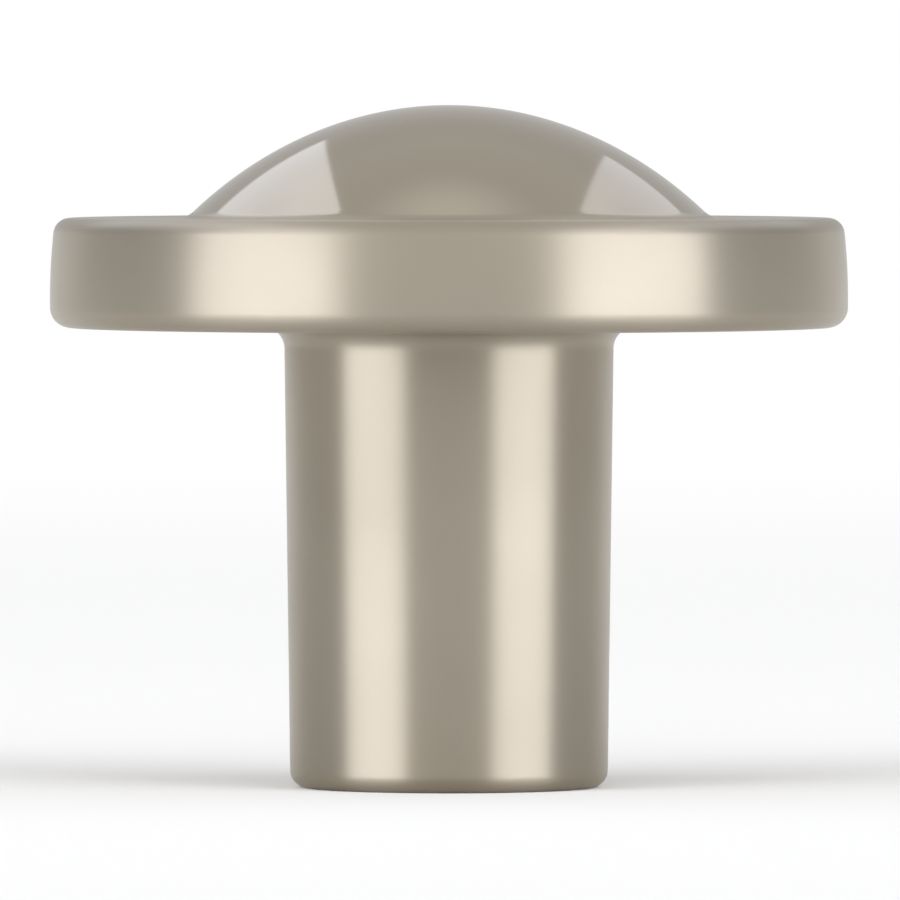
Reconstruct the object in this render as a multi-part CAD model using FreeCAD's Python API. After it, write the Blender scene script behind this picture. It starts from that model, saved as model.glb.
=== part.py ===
import FreeCAD, Part
import math
import os

from FreeCAD import Vector

# Cabinet knob: a low dome on a disc flange, carried by a round stem. It is one solid zinc die
# casting, plated after polishing, with a blind tapped hole in its foot for the fixing screw.
# Sizes are in millimetres. Z is the axis of revolution and points away from the door, and the
# origin is the centre of the foot, which seats on the face of the door.

# Stem: drafted, so that it leaves its half of the die, which parts at the flange's widest line
STEM_LENGTH = 18.30              # foot to the underside of the flange
STEM_FOOT_DIAMETER = 12.64       # at the foot, before its corner is rounded
STEM_DRAFT_DEG = 0.75            # each side, widening towards the flange
FOOT_CORNER_RADIUS = 0.68
STEM_FILLET_RADIUS = 0.83        # hollow fillet under the flange

# Flange: a disc with a crowned wall, widest near its underside
FLANGE_DIAMETER = 31.75          # 1-1/4 in, at the widest line of the wall
FLANGE_THICKNESS = 4.36          # underside to the flat land on top
FLANGE_WIDEST_HEIGHT = 1.18      # widest line, above the underside
FLANGE_CROWN_RADIUS = 24.70      # section radius of the wall
FLANGE_LOWER_CORNER_RADIUS = 0.80
FLANGE_UPPER_CORNER_RADIUS = 0.65

# Dome: its section is the top of an upright ellipse, fuller at the shoulder than a sphere
DOME_FOOT_DIAMETER = 20.88       # where it would meet the land with no fillet
DOME_HEIGHT = 4.49               # land to the crown
DOME_ELLIPSE_HALF_HEIGHT = 19.57  # upright half axis of the ellipse
DOME_FILLET_RADIUS = 0.90        # hollow fillet between dome and land

# Fixing hole: bored here at the major diameter of its 8-32 thread, so that a plain screw fits
THREAD_MAJOR_DIAMETER = 4.166
HOLE_DEPTH = 14.00               # full diameter, measured from the foot
COUNTERSINK_DIAMETER = 5.00
COUNTERSINK_ANGLE_DEG = 90.0
DRILL_POINT_ANGLE_DEG = 118.0

SECTION_PLANE = Part.Plane(Vector(0, 0, 0), Vector(0, 1, 0))


def at(radius, height):
    """A point of the half section, which lies in the XZ plane."""
    return Vector(radius, 0, height)


def line(start, end):
    """A straight edge of the section."""
    return Part.LineSegment(start, end).toShape()


def dome_edge(foot, crown):
    """The arc of an upright ellipse, from the dome's foot to its crown on the axis.

    A rational quadratic curve gives the ellipse exactly. In the ellipse's own angle from the
    crown, its middle pole stands over half of that angle and has the cosine of it for a weight.
    """
    drop = crown.z - foot.z
    angle = math.acos(1 - drop / DOME_ELLIPSE_HALF_HEIGHT)
    half_width = foot.x / math.sin(angle)
    shoulder = at(half_width * math.tan(angle / 2), crown.z)
    curve = Part.BezierCurve()
    curve.setPoles([foot, shoulder, crown])
    curve.setWeight(2, math.cos(angle / 2))
    return curve.toShape()


def wall_edge(underside_height, land_height):
    """The crowned wall of the flange, as one arc through its widest line."""
    widest_radius = FLANGE_DIAMETER / 2
    widest_height = underside_height + FLANGE_WIDEST_HEIGHT

    def wall_radius(height):
        rise = height - widest_height
        return widest_radius - FLANGE_CROWN_RADIUS + math.sqrt(FLANGE_CROWN_RADIUS**2 - rise**2)

    bottom = at(wall_radius(underside_height), underside_height)
    top = at(wall_radius(land_height), land_height)
    return Part.Arc(bottom, at(widest_radius, widest_height), top).toShape()


def blended(edges, corners, radii):
    """Round each corner between one edge of an open outline and the next.

    corners and radii name the meeting points and their radii, in the outline's order.
    """
    outline = [edges[0]]
    for following, corner, radius in zip(edges[1:], corners, radii):
        tool = Part.ChFi2d.FilletAlgo(outline.pop(), following, SECTION_PLANE)
        tool.perform(radius)
        arc, before, after = tool.result(corner)
        outline += [before, arc, after]
    return outline


def revolved(edges):
    """The solid that a closed half section sweeps round the axis."""
    section = Part.Face(Part.Wire(Part.__sortEdges__(edges)))
    return section.revolve(Vector(0, 0, 0), Vector(0, 0, 1), 360)


def knob_blank():
    """The casting before its hole is drilled."""
    land_height = STEM_LENGTH + FLANGE_THICKNESS
    foot_radius = STEM_FOOT_DIAMETER / 2
    stem_top_radius = foot_radius + STEM_LENGTH * math.tan(math.radians(STEM_DRAFT_DEG))
    wall = wall_edge(STEM_LENGTH, land_height)

    centre = at(0, 0)
    foot_corner = at(foot_radius, 0)
    stem_top = at(stem_top_radius, STEM_LENGTH)
    lower_rim = wall.Vertexes[0].Point
    upper_rim = wall.Vertexes[-1].Point
    dome_foot = at(DOME_FOOT_DIAMETER / 2, land_height)
    crown = at(0, land_height + DOME_HEIGHT)

    outline = blended(
        [
            line(centre, foot_corner),
            line(foot_corner, stem_top),
            line(stem_top, lower_rim),
            wall,
            line(upper_rim, dome_foot),
            dome_edge(dome_foot, crown),
        ],
        [foot_corner, stem_top, lower_rim, upper_rim, dome_foot],
        [
            FOOT_CORNER_RADIUS,
            STEM_FILLET_RADIUS,
            FLANGE_LOWER_CORNER_RADIUS,
            FLANGE_UPPER_CORNER_RADIUS,
            DOME_FILLET_RADIUS,
        ],
    )
    return revolved(outline + [line(crown, centre)])


def fixing_hole():
    """The drilled and countersunk hole that the screw's thread is cut in."""
    hole_radius = THREAD_MAJOR_DIAMETER / 2
    mouth_radius = COUNTERSINK_DIAMETER / 2
    sink_slope = math.tan(math.radians(COUNTERSINK_ANGLE_DEG / 2))
    point_slope = math.tan(math.radians(DRILL_POINT_ANGLE_DEG / 2))
    corners = [
        at(0, 0),
        at(mouth_radius, 0),
        at(hole_radius, (mouth_radius - hole_radius) / sink_slope),
        at(hole_radius, HOLE_DEPTH),
        at(0, HOLE_DEPTH + hole_radius / point_slope),
    ]
    return revolved([line(a, b) for a, b in zip(corners, corners[1:] + corners[:1])])


knob_body = knob_blank().cut(fixing_hole())

os.makedirs("parts", exist_ok=True)
knob_body.exportStep("parts/knob_body.step")
print(f"knob_body: {knob_body.Volume:.1f} mm3, {knob_body.BoundBox.ZLength:.2f} mm tall")
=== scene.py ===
"""A cabinet knob in satin nickel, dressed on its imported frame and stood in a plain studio.

The knob is one turned form: a low dome on a disc flange, on a drafted stem with a tapped hole in
its foot. Sizes are in millimetres and become metres where a mesh is made. Z is the knob's axis,
and the origin is the centre of the foot.
"""

import logging
import math
from collections.abc import Callable, Iterable
from dataclasses import dataclass, field
from enum import Enum
from itertools import pairwise

import bpy
from mathutils import Euler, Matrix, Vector


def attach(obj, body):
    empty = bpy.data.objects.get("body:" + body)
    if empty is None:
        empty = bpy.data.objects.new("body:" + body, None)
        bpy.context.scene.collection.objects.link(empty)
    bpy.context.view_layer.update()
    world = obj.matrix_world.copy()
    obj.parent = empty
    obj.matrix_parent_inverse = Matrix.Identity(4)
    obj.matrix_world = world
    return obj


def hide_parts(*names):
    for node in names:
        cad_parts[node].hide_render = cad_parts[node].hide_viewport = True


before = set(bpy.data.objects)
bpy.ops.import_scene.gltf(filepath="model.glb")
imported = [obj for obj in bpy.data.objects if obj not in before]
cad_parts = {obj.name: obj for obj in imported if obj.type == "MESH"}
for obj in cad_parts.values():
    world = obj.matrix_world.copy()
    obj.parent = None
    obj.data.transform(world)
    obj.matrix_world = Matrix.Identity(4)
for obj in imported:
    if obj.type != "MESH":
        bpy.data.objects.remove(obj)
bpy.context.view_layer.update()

log = logging.getLogger("knob")

MM = 0.001
QUARTER_TURN = 0.25
# Nearly all of a noise texture's values lie between these
NOISE_LOW, NOISE_HIGH = 0.3, 0.7
# A wave texture takes its scale as this many radians a metre
WAVE_RADIANS = 20

Point = tuple[float, float]
Socket = bpy.types.NodeSocket


class Row(Enum):
    """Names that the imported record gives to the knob's one body, node and material slot."""

    BODY = "root"
    NODE = "knob_body"
    SLOT = "satin_nickel"


def linear(hex_colour: str) -> tuple[float, float, float, float]:
    """Turn an sRGB hex colour to linear light.

    Args:
        hex_colour: Six hex digits after a hash sign.

    Returns:
        Red, green and blue in linear light, then an alpha of 1.
    """
    channels = [int(hex_colour[i : i + 2], 16) / 255 for i in (1, 3, 5)]
    light = [c / 12.92 if c <= 0.04045 else ((c + 0.055) / 1.055) ** 2.4 for c in channels]
    return (*light, 1.0)


def add_node(
    tree: bpy.types.NodeTree,
    kind: str,
    inputs: dict[str | int, object] | None = None,
    **settings: object,
) -> bpy.types.Node:
    """Add one node to a tree.

    Args:
        tree: The shader or geometry tree that gets the node.
        kind: Blender's identifier for the node.
        inputs: For each input, by name or place: a socket to link from, or a value to set.
        settings: The node's own properties.

    Returns:
        The new node.
    """
    node = tree.nodes.new(kind)
    for name, value in settings.items():
        setattr(node, name, value)
    for key, value in (inputs or {}).items():
        if isinstance(value, Socket):
            tree.links.new(value, node.inputs[key])
        else:
            node.inputs[key].default_value = value
    return node


def new_material(name: str) -> tuple[bpy.types.Material, bpy.types.NodeTree, Socket]:
    """Make an empty node material.

    Args:
        name: The material's name.

    Returns:
        The material, its tree, and the surface input of its output node.
    """
    material = bpy.data.materials.new(name)
    material.use_nodes = True
    tree = material.node_tree
    tree.nodes.clear()
    return material, tree, add_node(tree, "ShaderNodeOutputMaterial").inputs["Surface"]


@dataclass(frozen=True)
class SatinNickel:
    """Satin nickel plate on polished zinc, with its dome buffed up to a soft polish.

    The plate is bright metal with a warm cast. Its satin is a very fine grain that runs round
    the knob, as a fibre wheel leaves it on turned work. It draws every reflection out along the
    axis, so the lamps beside the camera show on the stem and the flange as upright highlights
    that reach from edge to edge. On the dome the grain is buffed nearly away, and the lamps
    show there as patches with clear edges.

    Roughness and grain change over from one finish to the other between two heights, in the
    fillet at the dome's foot. Faint clouds in the roughness keep either from being quite even.
    """

    name: str = "satin_nickel_plate"
    colour: str = "#B7AE9E"
    satin: float = 0.42
    satin_spread: float = 0.015
    one_way: float = 0.85
    buffed: float = 0.08
    buffed_spread: float = 0.01
    buffed_from_mm: float = 22.70
    buffed_to_mm: float = 22.95
    grain_mm: float = 0.10
    grain_sweep: float = 20.0
    cloud_mm: float = 6.0
    grain_height_mm: float = 0.0004

    def material(self) -> bpy.types.Material:
        """Build the plate's shader.

        Returns:
            The finished material.
        """
        material, tree, surface = new_material(self.name)
        place = add_node(tree, "ShaderNodeTexCoord").outputs["Object"]
        across, along, height = add_node(tree, "ShaderNodeSeparateXYZ", {0: place}).outputs
        clouds = add_node(
            tree,
            "ShaderNodeTexNoise",
            {"Vector": place, "Scale": 1 / (self.cloud_mm * MM), "Detail": 3.0},
        )
        satin, buffed = (
            add_node(
                tree,
                "ShaderNodeMapRange",
                {
                    "Value": clouds.outputs[0],
                    "From Min": NOISE_LOW,
                    "From Max": NOISE_HIGH,
                    "To Min": level - spread,
                    "To Max": level + spread,
                },
            ).outputs[0]
            for level, spread in (
                (self.satin, self.satin_spread),
                (self.buffed, self.buffed_spread),
            )
        )
        roughness, one_way = (
            add_node(
                tree,
                "ShaderNodeMapRange",
                {
                    "Value": height,
                    "From Min": self.buffed_from_mm * MM,
                    "From Max": self.buffed_to_mm * MM,
                    "To Min": below,
                    "To Max": above,
                },
                interpolation_type="SMOOTHSTEP",
            ).outputs[0]
            for below, above in ((satin, buffed), (self.one_way, 0.0))
        )
        # The real grain is a few micrometres, far too fine to show, so it's drawn at 0.1 mm
        flat = add_node(tree, "ShaderNodeCombineXYZ", {0: across, 1: along}).outputs[0]
        reach = add_node(tree, "ShaderNodeVectorMath", {0: flat}, operation="LENGTH")
        drift = add_node(
            tree, "ShaderNodeMath", {0: across, 1: self.grain_sweep}, operation="DIVIDE"
        )
        swept = add_node(
            tree,
            "ShaderNodeCombineXYZ",
            {0: reach.outputs["Value"], 1: drift.outputs[0], 2: height},
        )
        grain = add_node(
            tree,
            "ShaderNodeTexNoise",
            {"Vector": swept.outputs[0], "Scale": 1 / (self.grain_mm * MM), "Detail": 2.0},
        )
        bump = add_node(
            tree,
            "ShaderNodeBump",
            {
                "Height": grain.outputs[0],
                "Strength": 1.0,
                "Distance": self.grain_height_mm * MM,
            },
        )
        # The tangent runs round the axis with the grain, and the spread is square to it
        round_axis = add_node(tree, "ShaderNodeTangent", direction_type="RADIAL", axis="Z")
        plate = add_node(
            tree,
            "ShaderNodeBsdfPrincipled",
            {
                "Base Color": linear(self.colour),
                "Metallic": 1.0,
                "Roughness": roughness,
                "Normal": bump.outputs[0],
                "Anisotropic": one_way,
                "Anisotropic Rotation": QUARTER_TURN,
                "Tangent": round_axis.outputs[0],
            },
        )
        tree.links.new(plate.outputs[0], surface)
        return material


@dataclass(frozen=True)
class DrilledZinc:
    """Zinc alloy as the drill and tap leave it, with only a mist of plating inside the hole.

    It gives the eye a greyer, duller metal than the plate, with rings round the bore from the
    cutting edge.
    """

    name: str = "drilled_zinc_thinly_plated"
    colour: str = "#A9A59B"
    roughness: float = 0.42
    ring_pitch_mm: float = 0.12
    ring_height_mm: float = 0.004

    def material(self) -> bpy.types.Material:
        """Build the bare hole's shader.

        Returns:
            The finished material.
        """
        material, tree, surface = new_material(self.name)
        place = add_node(tree, "ShaderNodeTexCoord").outputs["Object"]
        # The feed of the drill is finer than this, and is drawn coarser so that it shows
        rings = add_node(
            tree,
            "ShaderNodeTexWave",
            {
                "Vector": place,
                "Scale": math.tau / (WAVE_RADIANS * self.ring_pitch_mm * MM),
                "Distortion": 1.5,
                "Detail": 2.0,
            },
            bands_direction="Z",
        )
        bump = add_node(
            tree,
            "ShaderNodeBump",
            {"Height": rings.outputs[1], "Strength": 0.5, "Distance": self.ring_height_mm * MM},
        )
        zinc = add_node(
            tree,
            "ShaderNodeBsdfPrincipled",
            {
                "Base Color": linear(self.colour),
                "Metallic": 1.0,
                "Roughness": self.roughness,
                "Normal": bump.outputs[0],
            },
        )
        tree.links.new(zinc.outputs[0], surface)
        return material


@dataclass(frozen=True)
class SeamlessBoard:
    """Matt white studio board, rolled out under the knob and far behind it.

    Near the knob the lamps light it to just under white, and it keeps the knob's soft shadow.
    Its faint warm cast makes up for the cool lamps. Further off it shines white by itself, as a
    board with its own lamps does, so that no edge or horizon shows.
    """

    name: str = "seamless_white_board"
    colour: str = "#EBEAE6"
    own_light: float = 1.0
    lit_from_m: float = 0.0
    lit_to_m: float = 0.55

    def material(self) -> bpy.types.Material:
        """Build the board's shader.

        Returns:
            The finished material.
        """
        material, tree, surface = new_material(self.name)
        place = add_node(tree, "ShaderNodeTexCoord").outputs["Object"]
        reach = add_node(tree, "ShaderNodeVectorMath", {0: place}, operation="LENGTH")
        far = add_node(
            tree,
            "ShaderNodeMapRange",
            {
                "Value": reach.outputs["Value"],
                "From Min": self.lit_from_m,
                "From Max": self.lit_to_m,
            },
            interpolation_type="SMOOTHSTEP",
        )
        board = add_node(
            tree, "ShaderNodeBsdfDiffuse", {"Color": linear(self.colour), "Roughness": 1.0}
        )
        glow = add_node(tree, "ShaderNodeEmission", {"Strength": self.own_light})
        mixed = add_node(
            tree,
            "ShaderNodeMixShader",
            {0: far.outputs[0], 1: board.outputs[0], 2: glow.outputs[0]},
        )
        tree.links.new(mixed.outputs[0], surface)
        return material


def arc(centre: Point, radius: float, start_deg: float, end_deg: float, steps: int) -> list[Point]:
    """Divide an arc of the section.

    Args:
        centre: Its centre, as radius from the axis and height.
        radius: Its own radius.
        start_deg: The angle of its first point, from outwards, positive upwards.
        end_deg: The angle of its last point.
        steps: How many equal parts it has.

    Returns:
        The points, with both ends.
    """
    turned = end_deg - start_deg
    angles = [math.radians(start_deg + turned * i / steps) for i in range(steps + 1)]
    return [(centre[0] + radius * math.cos(a), centre[1] + radius * math.sin(a)) for a in angles]


def straight(start: Point, end: Point, parts: int = 1, hold: float = 0.05) -> list[Point]:
    """Divide a straight run of the section, with a point close to each end.

    The close points keep the run's shading straight up to the curve that it meets.

    Args:
        start: The first end, which is left out of the result.
        end: The second end, which is left out as well.
        parts: How many equal parts the middle has.
        hold: How far the close points are from the ends.

    Returns:
        The points between the ends.
    """
    length = math.dist(start, end)
    near = hold / length
    shares = [near + (1 - 2 * near) * i / parts for i in range(parts + 1)]
    return [tuple(a + (b - a) * s for a, b in zip(start, end)) for s in shares]


def solve(error: Callable[[float], float], low: float, high: float) -> float:
    """Find where a falling or rising function crosses zero, by halving.

    Args:
        error: The function.
        low: One end of the range that holds the crossing.
        high: The other end.

    Returns:
        The crossing.
    """
    rising = error(high) > 0
    halvings = 60
    for _ in range(halvings):
        middle = (low + high) / 2
        if (error(middle) > 0) == rising:
            high = middle
        else:
            low = middle
    return (low + high) / 2


@dataclass
class Knob:
    """The knob itself: dome, flange and stem in one casting, with its fixing hole.

    The sizes are the casting drawing's, in millimetres. The steps are the parts that each run
    of the section is divided into.
    """

    stem_length: float = 18.30
    stem_foot_diameter: float = 12.64
    stem_draft_deg: float = 0.75
    foot_corner: float = 0.68
    stem_fillet: float = 0.83
    flange_diameter: float = 31.75
    flange_thickness: float = 4.36
    flange_widest_height: float = 1.18
    flange_crown: float = 24.70
    flange_lower_corner: float = 0.80
    flange_upper_corner: float = 0.65
    dome_foot_diameter: float = 20.88
    dome_height: float = 4.49
    dome_half_height: float = 19.57
    dome_fillet: float = 0.90
    bore_diameter: float = 4.166
    bore_depth: float = 14.00
    countersink_diameter: float = 5.00
    drill_point_deg: float = 118.0
    dome_steps: int = 60
    dome_fillet_steps: int = 14
    wall_steps: int = 14
    flange_corner_steps: int = 18
    stem_corner_steps: int = 16
    stem_steps: int = 8
    divisions: int = 288
    plate: SatinNickel = field(default_factory=SatinNickel)
    bare: DrilledZinc = field(default_factory=DrilledZinc)

    @property
    def land_height(self) -> float:
        """Height of the flat ring on top of the flange."""
        return self.stem_length + self.flange_thickness

    @property
    def hole_top(self) -> float:
        """Height of the drill's point inside the knob."""
        return self.bore_depth + self.bore_diameter / 2 / math.tan(
            math.radians(self.drill_point_deg / 2)
        )

    def dome_run(self) -> list[Point]:
        """Follow the dome from its crown to the land.

        The dome's section is the top of an upright ellipse, and a hollow fillet joins it to the
        land. The fillet starts where a ball of its radius touches both.

        Returns:
            The points of the section, from the axis outwards.
        """
        land = self.land_height
        half_height = self.dome_half_height
        foot_angle = math.acos(1 - self.dome_height / half_height)
        half_width = self.dome_foot_diameter / 2 / math.sin(foot_angle)
        middle = land + self.dome_height - half_height

        def on_dome(angle: float) -> Point:
            """Point of the ellipse at an angle from its crown."""
            return half_width * math.sin(angle), middle + half_height * math.cos(angle)

        def ball_centre(angle: float) -> Point:
            """Centre of the fillet's ball that touches the dome at that angle."""
            slope = Vector((math.sin(angle) / half_width, math.cos(angle) / half_height))
            out = slope.normalized() * self.dome_fillet
            radius, height = on_dome(angle)
            return radius + out.x, height + out.y

        touch = solve(lambda a: ball_centre(a)[1] - land - self.dome_fillet, 0.0, foot_angle)
        centre = ball_centre(touch)
        edge = on_dome(touch)
        start = math.degrees(math.atan2(edge[1] - centre[1], edge[0] - centre[0]))
        dome = [on_dome(touch * i / self.dome_steps) for i in range(self.dome_steps)]
        return dome + arc(centre, self.dome_fillet, start, -90, self.dome_fillet_steps)

    def flange_run(self) -> list[Point]:
        """Follow the flange from its upper corner to its lower one, round the crowned wall.

        Returns:
            The points of the section, from the land to the underside.
        """
        middle = (
            self.flange_diameter / 2 - self.flange_crown,
            self.stem_length + self.flange_widest_height,
        )

        def corner(radius: float, height: float) -> tuple[Point, float]:
            """Centre of a corner's arc, and the angle at which it runs into the wall."""
            reach = self.flange_crown - radius
            rise = height - middle[1]
            across = math.sqrt(reach**2 - rise**2)
            return (middle[0] + across, height), math.degrees(math.atan2(rise, across))

        upper, upper_end = corner(
            self.flange_upper_corner, self.land_height - self.flange_upper_corner
        )
        lower, lower_end = corner(
            self.flange_lower_corner, self.stem_length + self.flange_lower_corner
        )
        steps = self.flange_corner_steps
        return (
            arc(upper, self.flange_upper_corner, 90, upper_end, steps)
            + arc(middle, self.flange_crown, upper_end, lower_end, self.wall_steps)[1:-1]
            + arc(lower, self.flange_lower_corner, lower_end, -90, steps)
        )

    def stem_run(self) -> list[Point]:
        """Follow the stem from the underside of the flange to the foot.

        Returns:
            The points of the section, from the hollow fillet to the foot's corner.
        """
        draft = math.radians(self.stem_draft_deg)

        def beside(height: float, away: float) -> Point:
            """Point that far outside the drafted wall, at a height."""
            wall = self.stem_foot_diameter / 2 + height * math.tan(draft)
            return wall + away / math.cos(draft), height

        fillet = arc(
            beside(self.stem_length - self.stem_fillet, self.stem_fillet),
            self.stem_fillet,
            90,
            180 - self.stem_draft_deg,
            self.stem_corner_steps,
        )
        corner = arc(
            beside(self.foot_corner, -self.foot_corner),
            self.foot_corner,
            -self.stem_draft_deg,
            -90,
            self.stem_corner_steps,
        )
        return fillet + straight(fillet[-1], corner[0], parts=self.stem_steps) + corner

    def hole_run(self) -> list[Point]:
        """Follow the fixing hole from its mouth to the drill's point.

        Returns:
            The points of the section, from the foot to the axis inside the knob.
        """
        bore = self.bore_diameter / 2
        mouth = self.countersink_diameter / 2
        # The countersink's sides stand at 90 degrees, so it is as deep as its ledge is wide
        corners = [
            (mouth, 0.0),
            (bore, mouth - bore),
            (bore, self.bore_depth),
            (0.0, self.hole_top),
        ]
        crisp = 0.02
        run = [corners[0]]
        for start, end in pairwise(corners):
            run += [*straight(start, end, parts=2, hold=crisp), end]
        return run

    def section(self) -> list[Point]:
        """Join the runs to the whole half section.

        Returns:
            The points from the crown, down the outside and up into the hole.
        """
        runs = [self.dome_run(), self.flange_run(), self.stem_run(), self.hole_run()]
        outline = list(runs[0])
        for run in runs[1:]:
            outline += [*straight(outline[-1], run[0], parts=2), *run]
        return outline

    def turning_tree(self) -> bpy.types.GeometryNodeTree:
        """Make the tree that turns a half section round the axis.

        Its input is the section as a chain of points in the XZ plane, in order. A flat grid has
        one row for each of them and one column for each division of the turn, and each of its
        points goes to the place that its row and column give.

        Returns:
            The tree, with its sizes and finishes as named inputs.
        """
        tree = bpy.data.node_groups.new("turned_form", "GeometryNodeTree")
        for name, kind in (
            ("Section", "NodeSocketGeometry"),
            ("Divisions", "NodeSocketInt"),
            ("Hole radius", "NodeSocketFloat"),
            ("Hole top", "NodeSocketFloat"),
            ("Finish", "NodeSocketMaterial"),
            ("Hole finish", "NodeSocketMaterial"),
        ):
            tree.interface.new_socket(name, in_out="INPUT", socket_type=kind)
        tree.interface.new_socket("Geometry", in_out="OUTPUT", socket_type="NodeSocketGeometry")
        given = add_node(tree, "NodeGroupInput").outputs
        count = add_node(
            tree,
            "GeometryNodeAttributeDomainSize",
            {"Geometry": given["Section"]},
            component="MESH",
        ).outputs["Point Count"]
        columns = add_node(tree, "ShaderNodeMath", {0: given["Divisions"], 1: 1.0}).outputs[0]
        grid = add_node(
            tree,
            "GeometryNodeMeshGrid",
            {"Size X": 1.0, "Size Y": 1.0, "Vertices X": columns, "Vertices Y": count},
        )
        number = add_node(tree, "GeometryNodeInputIndex").outputs[0]
        row = add_node(
            tree, "ShaderNodeMath", {0: number, 1: count}, operation="FLOORED_MODULO"
        ).outputs[0]
        passed = add_node(tree, "ShaderNodeMath", {0: number, 1: count}, operation="DIVIDE")
        column = add_node(
            tree, "ShaderNodeMath", {0: passed.outputs[0]}, operation="FLOOR"
        ).outputs[0]
        turn = add_node(
            tree, "ShaderNodeMath", {0: column, 1: given["Divisions"]}, operation="DIVIDE"
        ).outputs[0]
        angle = add_node(
            tree, "ShaderNodeMath", {0: turn, 1: math.tau}, operation="MULTIPLY"
        ).outputs[0]
        place = add_node(tree, "GeometryNodeInputPosition").outputs[0]
        section_point = add_node(
            tree,
            "GeometryNodeSampleIndex",
            {"Geometry": given["Section"], "Value": place, "Index": row},
            data_type="FLOAT_VECTOR",
        )
        turned = add_node(
            tree,
            "ShaderNodeVectorRotate",
            {"Vector": section_point.outputs[0], "Angle": angle},
            rotation_type="Z_AXIS",
        )
        placed = add_node(
            tree,
            "GeometryNodeSetPosition",
            {"Geometry": grid.outputs[0], "Position": turned.outputs[0]},
        )
        # The first and last columns meet, and so do the points of each row on the axis
        touching = 1e-7
        closed = add_node(
            tree,
            "GeometryNodeMergeByDistance",
            {"Geometry": placed.outputs[0], "Distance": touching},
        )
        outward = add_node(tree, "GeometryNodeFlipFaces", {"Mesh": closed.outputs[0]})
        smooth = add_node(
            tree, "GeometryNodeSetShadeSmooth", {"Geometry": outward.outputs[0]}
        )
        whole = add_node(
            tree, "GeometryNodeRealizeInstances", {"Geometry": smooth.outputs[0]}
        )
        plated = add_node(
            tree,
            "GeometryNodeSetMaterial",
            {"Geometry": whole.outputs[0], "Material": given["Finish"]},
        )
        across, along, height = add_node(tree, "ShaderNodeSeparateXYZ", {0: place}).outputs
        flat = add_node(tree, "ShaderNodeCombineXYZ", {0: across, 1: along}).outputs[0]
        reach = add_node(tree, "ShaderNodeVectorMath", {0: flat}, operation="LENGTH")
        inside = add_node(
            tree,
            "ShaderNodeMath",
            {0: reach.outputs["Value"], 1: given["Hole radius"]},
            operation="LESS_THAN",
        )
        below = add_node(
            tree, "ShaderNodeMath", {0: height, 1: given["Hole top"]}, operation="LESS_THAN"
        )
        in_hole = add_node(
            tree,
            "ShaderNodeMath",
            {0: inside.outputs[0], 1: below.outputs[0]},
            operation="MULTIPLY",
        )
        bored = add_node(
            tree,
            "GeometryNodeSetMaterial",
            {
                "Geometry": plated.outputs[0],
                "Selection": in_hole.outputs[0],
                "Material": given["Hole finish"],
            },
        )
        add_node(tree, "NodeGroupOutput", {"Geometry": bored.outputs[0]})
        return tree

    def build(self) -> bpy.types.Object:
        """Turn the section and dress it.

        Returns:
            The knob's body, which takes the place of the CAD node.
        """
        points = [(r * MM, 0.0, z * MM) for r, z in self.section()]
        chain = bpy.data.meshes.new("section")
        chain.from_pydata(points, [(i, i + 1) for i in range(len(points) - 1)], [])
        return grown(
            "turned_knob",
            chain,
            self.turning_tree(),
            {
                "Divisions": self.divisions,
                "Hole radius": self.countersink_diameter / 2 * MM,
                "Hole top": self.hole_top * MM,
                "Finish": self.plate.material(),
                "Hole finish": self.bare.material(),
            },
        )


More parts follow.
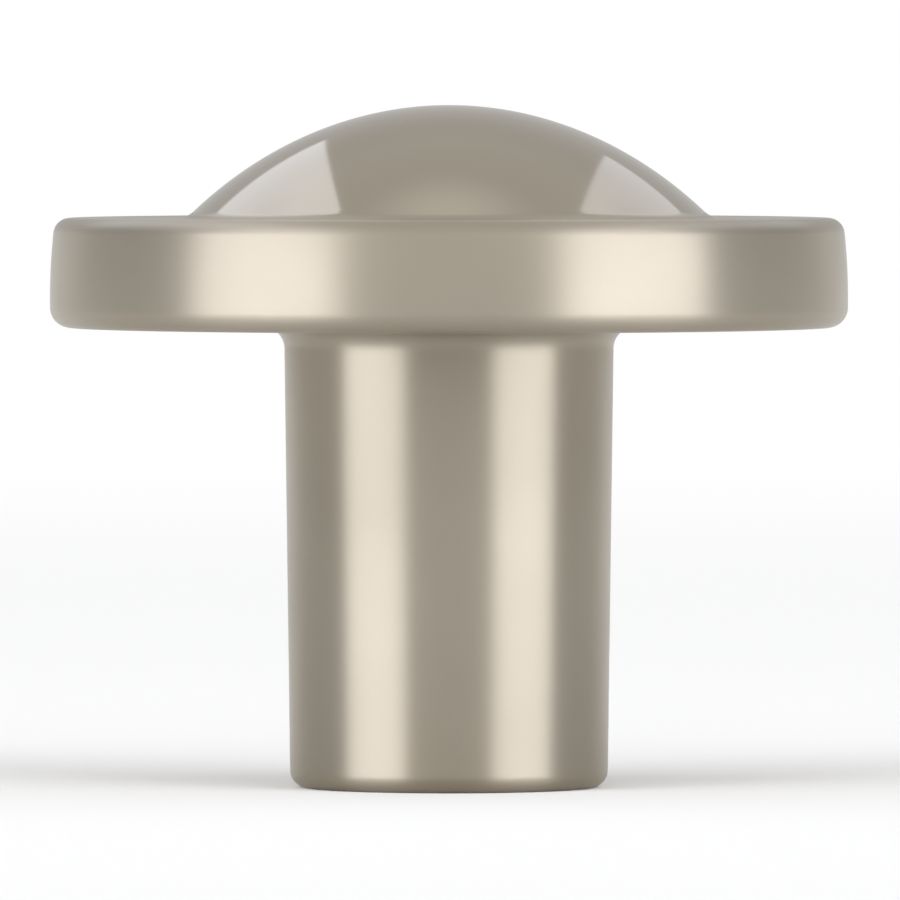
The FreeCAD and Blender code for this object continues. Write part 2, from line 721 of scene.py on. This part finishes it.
@dataclass
class ScrewThread:
    """The 8-32 thread that is cut in the bore, as one ridge that winds up its wall.

    Sizes are in millimetres. The ridge's root is a little inside the metal, and its flat crest
    is a quarter of the pitch wide. Over a little more than half a turn at each end, the ridge
    shrinks to a sliver of its size and sinks into the wall.
    """

    root_radius: float = 2.100
    start_height: float = 0.60
    pitch: float = 25.4 / 32
    turns: float = 15.5
    height: float = 0.447
    root_width: float = 0.70
    crest_width: float = 0.20
    steps_a_turn: int = 64
    fade_turns: float = 0.6
    sliver: float = 0.02
    metal: DrilledZinc = field(default_factory=lambda: DrilledZinc(name="tapped_zinc"))

    def winding_tree(self) -> bpy.types.GeometryNodeTree:
        """Make the tree that winds a ridge up the wall of a bore.

        Returns:
            The tree, with its sizes and finish as named inputs.
        """
        tree = bpy.data.node_groups.new("wound_ridge", "GeometryNodeTree")
        tree.interface.new_socket("Geometry", in_out="INPUT", socket_type="NodeSocketGeometry")
        for name, kind in (
            ("Radius", "NodeSocketFloat"),
            ("Start", "NodeSocketFloat"),
            ("Pitch", "NodeSocketFloat"),
            ("Turns", "NodeSocketFloat"),
            ("Steps", "NodeSocketInt"),
            ("Fade", "NodeSocketFloat"),
            ("Sliver", "NodeSocketFloat"),
            ("Depth", "NodeSocketFloat"),
            ("Root width", "NodeSocketFloat"),
            ("Crest width", "NodeSocketFloat"),
            ("Finish", "NodeSocketMaterial"),
        ):
            tree.interface.new_socket(name, in_out="INPUT", socket_type=kind)
        tree.interface.new_socket("Geometry", in_out="OUTPUT", socket_type="NodeSocketGeometry")
        given = add_node(tree, "NodeGroupInput").outputs
        climb = add_node(
            tree,
            "ShaderNodeMath",
            {0: given["Pitch"], 1: given["Turns"]},
            operation="MULTIPLY",
        )
        spiral = add_node(
            tree,
            "GeometryNodeCurveSpiral",
            {
                "Resolution": given["Steps"],
                "Rotations": given["Turns"],
                "Start Radius": given["Radius"],
                "End Radius": given["Radius"],
                "Height": climb.outputs[0],
            },
        )
        upright = add_node(
            tree, "GeometryNodeSetCurveNormal", {"Curve": spiral.outputs[0]}, mode="Z_UP"
        )
        along = add_node(tree, "GeometryNodeSplineParameter").outputs["Factor"]
        back = add_node(tree, "ShaderNodeMath", {0: 1.0, 1: along}, operation="SUBTRACT")
        nearer = add_node(
            tree, "ShaderNodeMath", {0: along, 1: back.outputs[0]}, operation="MINIMUM"
        )
        full = add_node(
            tree,
            "ShaderNodeMapRange",
            {
                "Value": nearer.outputs[0],
                "From Max": given["Fade"],
                "To Min": given["Sliver"],
            },
        )
        profile = add_node(
            tree,
            "GeometryNodeCurvePrimitiveQuadrilateral",
            {
                "Bottom Width": given["Root width"],
                "Top Width": given["Crest width"],
                "Height": given["Depth"],
                "Offset": 0.0,
            },
            mode="TRAPEZOID",
        )
        half_depth = add_node(
            tree, "ShaderNodeMath", {0: given["Depth"], 1: 0.5}, operation="MULTIPLY"
        )
        rise = add_node(tree, "ShaderNodeCombineXYZ", {1: half_depth.outputs[0]})
        raised = add_node(
            tree,
            "GeometryNodeTransform",
            {"Geometry": profile.outputs[0], "Translation": rise.outputs[0]},
        )
        inward = add_node(
            tree,
            "GeometryNodeTransform",
            {"Geometry": raised.outputs[0], "Rotation": Euler((0, 0, math.radians(-90)))},
        )
        ridge = add_node(
            tree,
            "GeometryNodeCurveToMesh",
            {
                "Curve": upright.outputs[0],
                "Profile Curve": inward.outputs[0],
                "Scale": full.outputs[0],
                "Fill Caps": True,
            },
        )
        start = add_node(tree, "ShaderNodeCombineXYZ", {2: given["Start"]})
        lifted = add_node(
            tree,
            "GeometryNodeTransform",
            {"Geometry": ridge.outputs[0], "Translation": start.outputs[0]},
        )
        whole = add_node(
            tree, "GeometryNodeRealizeInstances", {"Geometry": lifted.outputs[0]}
        )
        cut = add_node(
            tree,
            "GeometryNodeSetMaterial",
            {"Geometry": whole.outputs[0], "Material": given["Finish"]},
        )
        add_node(tree, "NodeGroupOutput", {"Geometry": cut.outputs[0]})
        return tree

    def build(self) -> bpy.types.Object:
        """Wind the ridge and dress it.

        Returns:
            The thread, as one closed mesh.
        """
        return grown(
            "screw_thread",
            bpy.data.meshes.new("thread_seed"),
            self.winding_tree(),
            {
                "Radius": self.root_radius * MM,
                "Start": self.start_height * MM,
                "Pitch": self.pitch * MM,
                "Turns": self.turns,
                "Steps": self.steps_a_turn,
                "Fade": self.fade_turns / self.turns,
                "Sliver": self.sliver,
                "Depth": self.height * MM,
                "Root width": self.root_width * MM,
                "Crest width": self.crest_width * MM,
                "Finish": self.metal.material(),
            },
        )


def grown(
    name: str, seed: bpy.types.Mesh, tree: bpy.types.GeometryNodeTree, inputs: dict[str, object]
) -> bpy.types.Object:
    """Run a geometry tree once and keep its result as a plain mesh.

    Args:
        name: The new piece's name.
        seed: The mesh that the tree starts from.
        tree: The geometry tree.
        inputs: A value for each of its named inputs.

    Returns:
        The piece, at the origin, with no modifier.
    """
    carrier = bpy.data.objects.new(f"{name}_seed", seed)
    bpy.context.scene.collection.objects.link(carrier)
    modifier = carrier.modifiers.new("grow", "NODES")
    modifier.node_group = tree
    for item in tree.interface.items_tree:
        if item.in_out == "INPUT" and item.name in inputs:
            modifier[item.identifier] = inputs[item.name]
    graph = bpy.context.evaluated_depsgraph_get()
    mesh = bpy.data.meshes.new_from_object(carrier.evaluated_get(graph), depsgraph=graph)
    mesh.name = name
    for place, finish in reversed(list(enumerate(mesh.materials))):
        if finish is None:
            mesh.materials.pop(index=place)
    bpy.data.objects.remove(carrier)
    bpy.data.meshes.remove(seed)
    piece = bpy.data.objects.new(name, mesh)
    bpy.context.scene.collection.objects.link(piece)
    return piece


@dataclass(frozen=True)
class Softbox:
    """A flat rectangular lamp with an even face.

    Sizes are in metres. It is hung by the middle of its face, aimed at a point, and then turned
    in its own plane. Brightness is the face's own, where 1 is white.
    """

    name: str
    width: float
    height: float
    middle: tuple[float, float, float]
    faces: tuple[float, float, float]
    brightness: float
    colour: str
    turn_deg: float = 0.0

    def build(self) -> bpy.types.Object:
        """Hang the lamp.

        Returns:
            The lamp's object.
        """
        lamp = bpy.data.lights.new(self.name, "AREA")
        lamp.shape = "RECTANGLE"
        lamp.size, lamp.size_y = self.width, self.height
        lamp.energy = self.brightness * math.pi * self.width * self.height
        lamp.color = linear(self.colour)[:3]
        holder = bpy.data.objects.new(self.name, lamp)
        bpy.context.scene.collection.objects.link(holder)
        holder.location = self.middle
        away = Vector(self.middle) - Vector(self.faces)
        holder.rotation_euler = away.to_track_quat("Z", "Y").to_euler()
        holder.rotation_euler.rotate_axis("Z", math.radians(self.turn_deg))
        holder.visible_camera = False
        return holder


@dataclass
class Studio:
    """A white board, soft lamps, pale surroundings and the camera of the photograph.

    On each side of the camera a low bright strip stands on the board, and a dimmer panel hangs
    above it. The two strips give the stem and the flange their upright highlights. Two level
    panels hang over the board behind the knob, each with a brighter part nearer the knob, and
    the dome shows each of them as a patch with clear edges. Distances are in metres, and pairs
    are for left and right.

    The surroundings are darkest at the sides, and are paler in front, behind and overhead. Their
    levels blend over ranges. The front's and the rear's are in the cosine of the bearing from
    straight back, the slope's and the ceiling's are in the sine of the angle from the zenith,
    and the white horizon's is in degrees from level.
    """

    board: SeamlessBoard = field(default_factory=SeamlessBoard)
    board_radius: float = 1.6
    side_distance: float = 0.40
    strip_azimuth_deg: float = 54.6
    strip_width_deg: float = 46.5
    strip_span: tuple[float, float] = (0.0, 0.063)
    strip_brightness: float = 10.2
    panel_azimuth_deg: float = 58.5
    panel_width_deg: float = 38.0
    panel_span: tuple[float, float] = (0.250, 0.477)
    panel_brightness: float = 1.2
    daylight: str = "#F4F6FF"
    overhead_height: float = 1.2
    overhead_left: tuple[float, float] = (-1.80, -0.48)
    overhead_right: tuple[float, float] = (0.60, 1.92)
    overhead_depth: float = 2.28
    overhead_turn_deg: tuple[float, float] = (0.0, -1.4)
    overhead_brightness: tuple[float, float] = (0.80, 0.57)
    hot_depth: tuple[float, float] = (1.20, 1.50)
    hot_brightness: tuple[float, float] = (0.80, 1.12)
    cool_daylight: str = "#E2EAFF"
    sides: float = 0.29
    front: float = 0.96
    front_from_to: tuple[float, float] = (0.0, -1.0)
    rear: float = 0.60
    rear_from_to: tuple[float, float] = (0.58, 0.84)
    slope: float = 0.66
    slope_from_to: tuple[float, float] = (0.80, 0.60)
    ceiling: float = 0.87
    ceiling_from_to: tuple[float, float] = (0.40, 0.05)
    horizon: float = 1.0
    horizon_from_to_deg: tuple[float, float] = (3.0, 1.7)
    eye_distance: float = 0.6424
    eye_height: float = 0.02856
    eye_side: float = 0.00004
    eye_pitch_deg: float = -1.35
    lens: float = 645.8
    sensor: float = 36.0

    def lamps(self) -> Iterable[Softbox]:
        """List the lamps.

        Returns:
            For each side, the strip, the panel above it, the level panel overhead and the
            brighter part of that.
        """
        strip = (self.strip_azimuth_deg, self.strip_width_deg, self.strip_span)
        panel = (self.panel_azimuth_deg, self.panel_width_deg, self.panel_span)
        for kind, (azimuth, spread, (bottom, top)), brightness in (
            ("strip", strip, self.strip_brightness),
            ("panel", panel, self.panel_brightness),
        ):
            width = 2 * self.side_distance * math.tan(math.radians(spread / 2))
            level = (bottom + top) / 2
            for word, turn_deg in (("left", -azimuth), ("right", azimuth)):
                turn = math.radians(turn_deg)
                across = self.side_distance * math.sin(turn)
                along = -self.side_distance * math.cos(turn)
                yield Softbox(
                    f"{kind}_{word}",
                    width,
                    top - bottom,
                    (across, along, level),
                    (0.0, 0.0, level),
                    brightness,
                    self.daylight,
                )
        for side, word, (near, far) in (
            (0, "left", self.overhead_left),
            (1, "right", self.overhead_right),
        ):
            for kind, depth, brightness in (
                ("overhead", self.overhead_depth, self.overhead_brightness[side]),
                ("hot_spot", self.hot_depth[side], self.hot_brightness[side]),
            ):
                middle = ((near + far) / 2, depth / 2)
                yield Softbox(
                    f"{kind}_{word}",
                    far - near,
                    depth,
                    (*middle, self.overhead_height),
                    (*middle, 0.0),
                    brightness,
                    self.cool_daylight,
                    self.overhead_turn_deg[side],
                )

    def lay_board(self) -> bpy.types.Object:
        """Lay the floor, which the knob stands on.

        Returns:
            The floor's object.
        """
        sides = 96
        ring = [
            (
                self.board_radius * math.cos(math.tau * i / sides),
                self.board_radius * math.sin(math.tau * i / sides),
                0.0,
            )
            for i in range(sides)
        ]
        mesh = bpy.data.meshes.new("board")
        mesh.from_pydata(ring, [], [tuple(range(sides))])
        mesh.materials.append(self.board.material())
        floor = bpy.data.objects.new("board", mesh)
        bpy.context.scene.collection.objects.link(floor)
        return floor

    def light_surroundings(self) -> None:
        """Give the world its pale greys, darkest at the sides, with a white horizon."""
        world = bpy.data.worlds.new("studio")
        world.use_nodes = True
        tree = world.node_tree
        tree.nodes.clear()
        direction = add_node(tree, "ShaderNodeTexCoord").outputs["Generated"]
        across, depth, upward = add_node(tree, "ShaderNodeSeparateXYZ", {0: direction}).outputs
        flat = add_node(tree, "ShaderNodeCombineXYZ", {0: across, 1: depth}).outputs[0]
        reach = add_node(tree, "ShaderNodeVectorMath", {0: flat}, operation="LENGTH")
        off_zenith = reach.outputs["Value"]
        heading = add_node(tree, "ShaderNodeVectorMath", {0: flat}, operation="NORMALIZE")
        bearing = add_node(tree, "ShaderNodeSeparateXYZ", {0: heading.outputs[0]})
        rearward = bearing.outputs["Y"]
        off_level = add_node(tree, "ShaderNodeMath", {0: upward}, operation="ABSOLUTE")
        horizon_from_to = (math.sin(math.radians(angle)) for angle in self.horizon_from_to_deg)
        level: float | Socket = self.sides
        for place, (start, end), brightness in (
            (rearward, self.rear_from_to, self.rear),
            (rearward, self.front_from_to, self.front),
            (off_zenith, self.slope_from_to, self.slope),
            (off_zenith, self.ceiling_from_to, self.ceiling),
            (off_level.outputs[0], horizon_from_to, self.horizon),
        ):
            level = add_node(
                tree,
                "ShaderNodeMapRange",
                {
                    "Value": place,
                    "From Min": start,
                    "From Max": end,
                    "To Min": level,
                    "To Max": brightness,
                },
                interpolation_type="SMOOTHSTEP",
            ).outputs[0]
        air = add_node(
            tree, "ShaderNodeBackground", {"Color": (1.0, 1.0, 1.0, 1.0), "Strength": level}
        )
        add_node(tree, "ShaderNodeOutputWorld", {"Surface": air.outputs[0]})
        bpy.context.scene.world = world

    def set_camera(self) -> bpy.types.Object:
        """Set up the camera that took the photograph.

        Returns:
            The camera's object.
        """
        data = bpy.data.cameras.new("camera")
        data.sensor_width = self.sensor
        data.lens = self.lens
        camera = bpy.data.objects.new("camera", data)
        bpy.context.scene.collection.objects.link(camera)
        camera.location = (self.eye_side, -self.eye_distance, self.eye_height)
        camera.rotation_euler = Euler((math.radians(90 + self.eye_pitch_deg), 0, 0))
        bpy.context.scene.camera = camera
        return camera

    def build(self) -> None:
        """Set the studio up round the knob."""
        self.lay_board()
        for softbox in self.lamps():
            softbox.build()
        self.light_surroundings()
        self.set_camera()
        bpy.context.scene.view_settings.view_transform = "Standard"


def report(piece: bpy.types.Object) -> None:
    """Log a piece's size and its count of triangles."""
    sides = ", ".join(f"{side / MM:.2f}" for side in piece.dimensions)
    triangles = sum(len(face.vertices) - 2 for face in piece.data.polygons)
    log.info("%s: %s mm, %d triangles", piece.name, sides, triangles)


def main() -> None:
    """Build the knob, then the studio round it."""
    logging.basicConfig(level=logging.INFO, format="%(name)s: %(message)s")
    body = Knob().build()
    thread = ScrewThread().build()
    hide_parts(Row.NODE.value)
    for piece in (body, thread):
        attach(piece, Row.BODY.value)
        report(piece)
    Studio().build()


if __name__ == "__main__":
    main()
